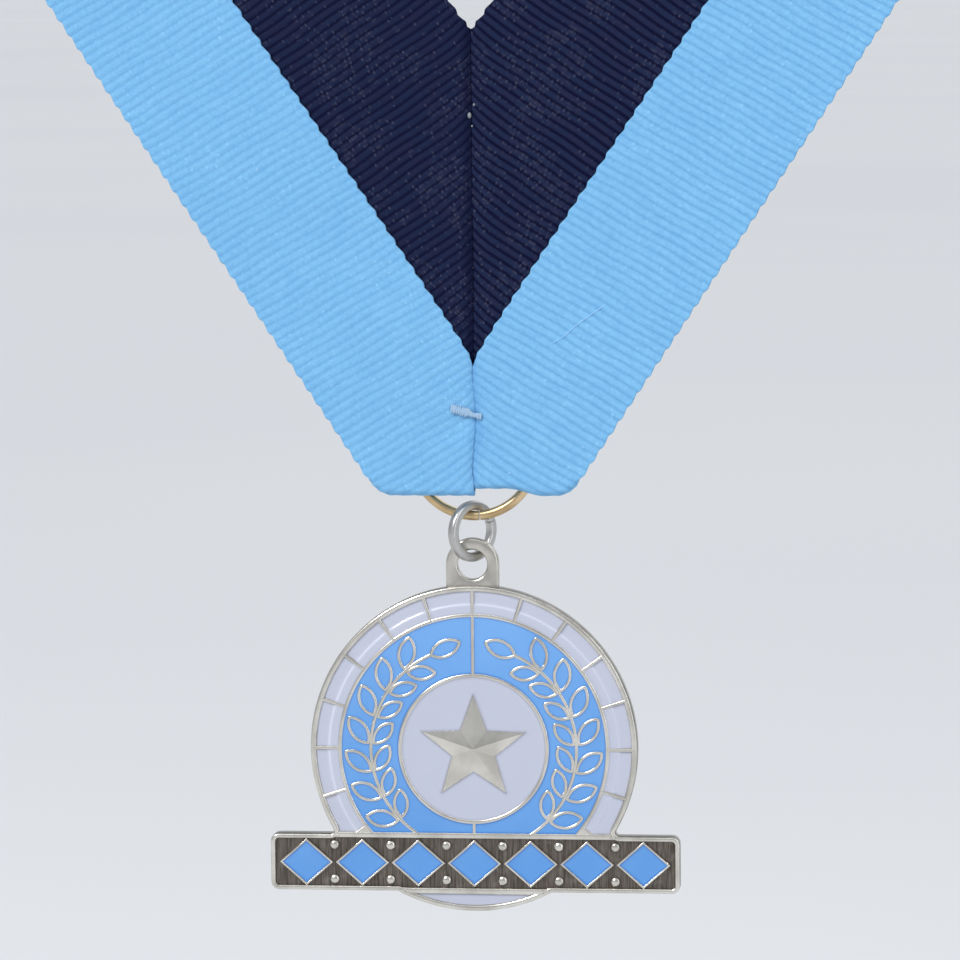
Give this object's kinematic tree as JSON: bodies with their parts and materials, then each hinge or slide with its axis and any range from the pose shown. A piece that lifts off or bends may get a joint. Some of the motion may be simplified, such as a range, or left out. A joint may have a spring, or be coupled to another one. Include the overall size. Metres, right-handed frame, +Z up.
{
  "type": "enamel medal on a neck ribbon",
  "caption": "Round enamel medal with a star in a laurel wreath and a lozenge banner, hung by rings from a light blue and navy grosgrain neck ribbon.",
  "frame": {"origin": "middle of the ribbon's inner face at the nape of the neck, where the loop hangs", "axes": "+Z up, the medal faces -Y, +X to the right as seen from the front"},
  "size_m": [0.2454, 0.1192, 0.3402],
  "materials": {
    "light_ribbon": "ribbed grosgrain, matt with a slight sheen",
    "navy_ribbon": "ribbed grosgrain, matt",
    "thread": "sewing thread",
    "gold_wire": "bright gold plated wire",
    "silver_wire": "bright plated wire",
    "antique_silver": "polished lines over a darkened, brushed ground",
    "white_enamel": "glossy",
    "blue_enamel": "glossy"
  },
  "bodies": {
    "ribbon": {"outer_band": "light_ribbon", "inner_band": "navy_ribbon", "fold_tongue": "light_ribbon", "tack": "thread", "gold_ring": "gold_wire"},
    "jump_ring": {"jump_ring": "silver_wire"},
    "medal": {"medal_plate": "antique_silver", "medallion_enamel": "white_enamel", "star": "antique_silver", "field_left": "blue_enamel", "field_right": "blue_enamel", "laurel_left": "blue_enamel", "laurel_right": "blue_enamel", "border_1": "white_enamel", "border_2": "white_enamel", "border_3": "white_enamel", "border_4": "white_enamel", "border_5": "white_enamel", "border_6": "white_enamel", "border_7": "white_enamel", "border_8": "white_enamel", "border_9": "white_enamel", "border_10": "white_enamel", "border_11": "white_enamel", "border_12": "white_enamel", "border_13": "white_enamel", "border_14": "white_enamel", "border_foot": "white_enamel", "lozenge_1": "blue_enamel", "lozenge_2": "blue_enamel", "lozenge_3": "blue_enamel", "lozenge_4": "blue_enamel", "lozenge_5": "blue_enamel", "lozenge_6": "blue_enamel", "lozenge_7": "blue_enamel"}
  },
  "joints": [
    {"name": "ring_swing", "type": "hinge", "parent": "ribbon", "child": "jump_ring", "pos_m": [0, -0.10497, -0.26119], "axis": [1, 0, 0], "range_deg": [-45, 45]},
    {"name": "medal_swing", "type": "hinge", "parent": "jump_ring", "child": "medal", "pos_m": [-0.0006, -0.10497, -0.26717], "axis": [0, 1, 0], "range_deg": [-20, 20]}
  ]
}
